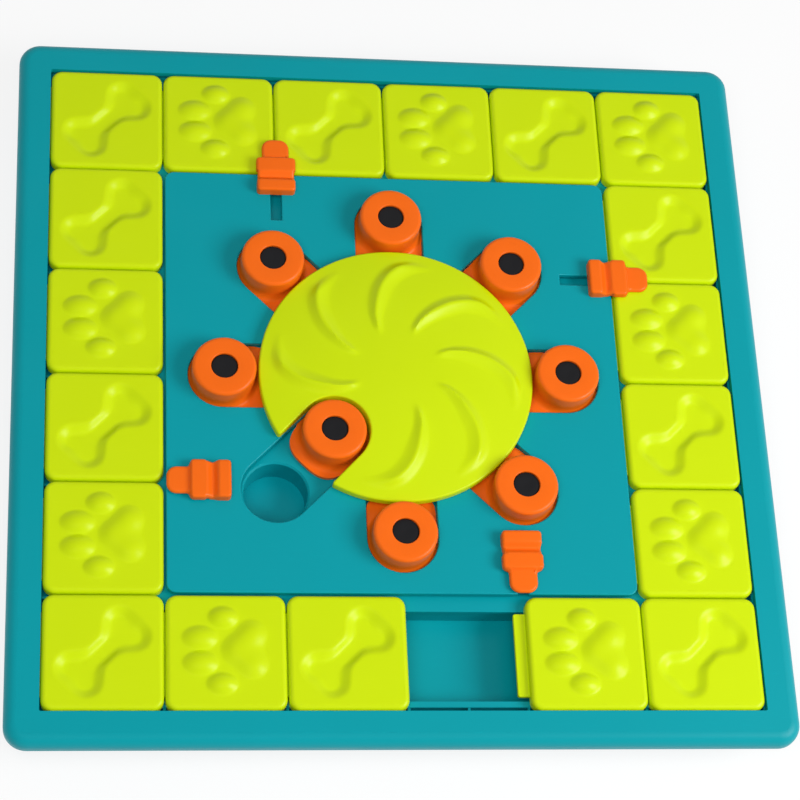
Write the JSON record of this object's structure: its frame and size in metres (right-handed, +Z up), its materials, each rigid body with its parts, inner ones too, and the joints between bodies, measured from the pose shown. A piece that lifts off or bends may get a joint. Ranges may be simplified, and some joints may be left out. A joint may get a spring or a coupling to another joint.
{
  "type": "dog puzzle feeder toy",
  "caption": "Square treat puzzle board with a ring of sliding tiles over a trough, a turning wheel, round knobs that slide over pockets, and sliding latches.",
  "frame": {"origin": "centre of the board on the plane of its rubber feet", "axes": "+Z up from the table to the knobs, -Y towards the side of the ring that has the gap, +X to the right seen from that side"},
  "size_m": [0.4128, 0.4128, 0.0498],
  "materials": {
    "lime_plastic": "satin moulded",
    "teal_plastic": "satin moulded",
    "orange_plastic": "satin moulded",
    "black_rubber": "matt",
    "foot_rubber": "matt",
    "screw_steel": "zinc plated"
  },
  "bodies": {
    "board": {"base_tub": "teal_plastic", "well_tray": "teal_plastic", "treat_cups": "teal_plastic", "deck": "teal_plastic", "deck_screws": "screw_steel", "rubber_feet": "foot_rubber", "tile_bone_01": "lime_plastic", "tile_paw_02": "lime_plastic", "tile_bone_03": "lime_plastic", "tile_paw_04": "lime_plastic", "tile_bone_05": "lime_plastic", "tile_paw_06": "lime_plastic", "tile_bone_07": "lime_plastic", "tile_paw_08": "lime_plastic", "tile_bone_09": "lime_plastic", "tile_paw_10": "lime_plastic", "tile_paw_16": "lime_plastic", "tile_bone_17": "lime_plastic", "tile_paw_18": "lime_plastic", "tile_bone_19": "lime_plastic"},
    "wheel_set": {"wheel": "lime_plastic", "wheel_washer": "screw_steel", "wheel_screw": "screw_steel"},
    "knob_set_back": {"knob_back": "orange_plastic", "knob_plug_back": "black_rubber"},
    "knob_set_back_right": {"knob_back_right": "orange_plastic", "knob_plug_back_right": "black_rubber"},
    "knob_set_right": {"knob_right": "orange_plastic", "knob_plug_right": "black_rubber"},
    "knob_set_front_right": {"knob_front_right": "orange_plastic", "knob_plug_front_right": "black_rubber"},
    "knob_set_front": {"knob_front": "orange_plastic", "knob_plug_front": "black_rubber"},
    "knob_set_front_left": {"knob_front_left": "orange_plastic", "knob_plug_front_left": "black_rubber"},
    "knob_set_left": {"knob_left": "orange_plastic", "knob_plug_left": "black_rubber"},
    "knob_set_back_left": {"knob_back_left": "orange_plastic", "knob_plug_back_left": "black_rubber"},
    "latch_set_back": {"latch_back": "orange_plastic"},
    "latch_set_right": {"latch_right": "orange_plastic"},
    "latch_set_front": {"latch_front": "orange_plastic"},
    "latch_set_left": {"latch_left": "orange_plastic"},
    "sliding_tile_bone_11": {"tile_bone_11": "lime_plastic"},
    "sliding_tile_paw_12": {"tile_paw_12": "lime_plastic"},
    "sliding_tile_bone_13": {"tile_bone_13": "lime_plastic"},
    "sliding_tile_paw_14": {"tile_paw_14": "lime_plastic"},
    "sliding_tile_bone_15": {"tile_bone_15": "lime_plastic"}
  },
  "joints": [
    {"name": "wheel_turn", "type": "hinge", "parent": "board", "child": "wheel_set", "pos_m": [0, 0, 0.039], "axis": [0, 0, 1], "range_deg": [-2, 2]},
    {"name": "knob_back_slide", "type": "slide", "parent": "board", "child": "knob_set_back", "axis": [0, 1, 0], "range_m": [-0.001, 0]},
    {"name": "knob_back_right_slide", "type": "slide", "parent": "board", "child": "knob_set_back_right", "axis": [0.7071, 0.7071, 0], "range_m": [-0.001, 0]},
    {"name": "knob_right_slide", "type": "slide", "parent": "board", "child": "knob_set_right", "axis": [1, 0, 0], "range_m": [-0.001, 0]},
    {"name": "knob_front_right_slide", "type": "slide", "parent": "board", "child": "knob_set_front_right", "axis": [0.7071, -0.7071, 0], "range_m": [-0.001, 0]},
    {"name": "knob_front_slide", "type": "slide", "parent": "board", "child": "knob_set_front", "axis": [0, -1, 0], "range_m": [-0.001, 0]},
    {"name": "knob_front_left_slide", "type": "slide", "parent": "board", "child": "knob_set_front_left", "axis": [-0.7071, -0.7071, 0], "range_m": [0, 0.0436]},
    {"name": "knob_left_slide", "type": "slide", "parent": "board", "child": "knob_set_left", "axis": [-1, 0, 0], "range_m": [-0.001, 0]},
    {"name": "knob_back_left_slide", "type": "slide", "parent": "board", "child": "knob_set_back_left", "axis": [-0.7071, 0.7071, 0], "range_m": [-0.001, 0]},
    {"name": "latch_back_slide", "type": "slide", "parent": "board", "child": "latch_set_back", "axis": [0, 1, 0], "range_m": [-0.021, 0]},
    {"name": "latch_right_slide", "type": "slide", "parent": "board", "child": "latch_set_right", "axis": [1, 0, 0], "range_m": [-0.021, 0]},
    {"name": "latch_front_slide", "type": "slide", "parent": "board", "child": "latch_set_front", "axis": [0, -1, 0], "range_m": [0, 0.021]},
    {"name": "latch_left_slide", "type": "slide", "parent": "board", "child": "latch_set_left", "axis": [-1, 0, 0], "range_m": [0, 0.021]},
    {"name": "tile_bone_13_slide", "type": "slide", "parent": "board", "child": "sliding_tile_bone_13", "axis": [1, 0, 0], "range_m": [0, 0.0628]},
    {"name": "tile_paw_14_slide", "type": "slide", "parent": "board", "child": "sliding_tile_paw_14", "axis": [1, 0, 0], "range_m": [0, 0.0628]},
    {"name": "tile_bone_15_slide", "type": "slide", "parent": "board", "child": "sliding_tile_bone_15", "axis": [1, 0, 0], "range_m": [0, 0.0628]},
    {"name": "tile_paw_12_slide", "type": "slide", "parent": "board", "child": "sliding_tile_paw_12", "axis": [1, 0, 0], "range_m": [-0.0628, 0]},
    {"name": "tile_bone_11_slide", "type": "slide", "parent": "board", "child": "sliding_tile_bone_11", "axis": [1, 0, 0], "range_m": [-0.0628, 0]}
  ],
  "couplings": [
    {"joint": "tile_paw_14_slide", "follows": "tile_bone_13_slide", "ratio": 1},
    {"joint": "tile_bone_15_slide", "follows": "tile_bone_13_slide", "ratio": 1},
    {"joint": "tile_bone_11_slide", "follows": "tile_paw_12_slide", "ratio": 1}
  ]
}
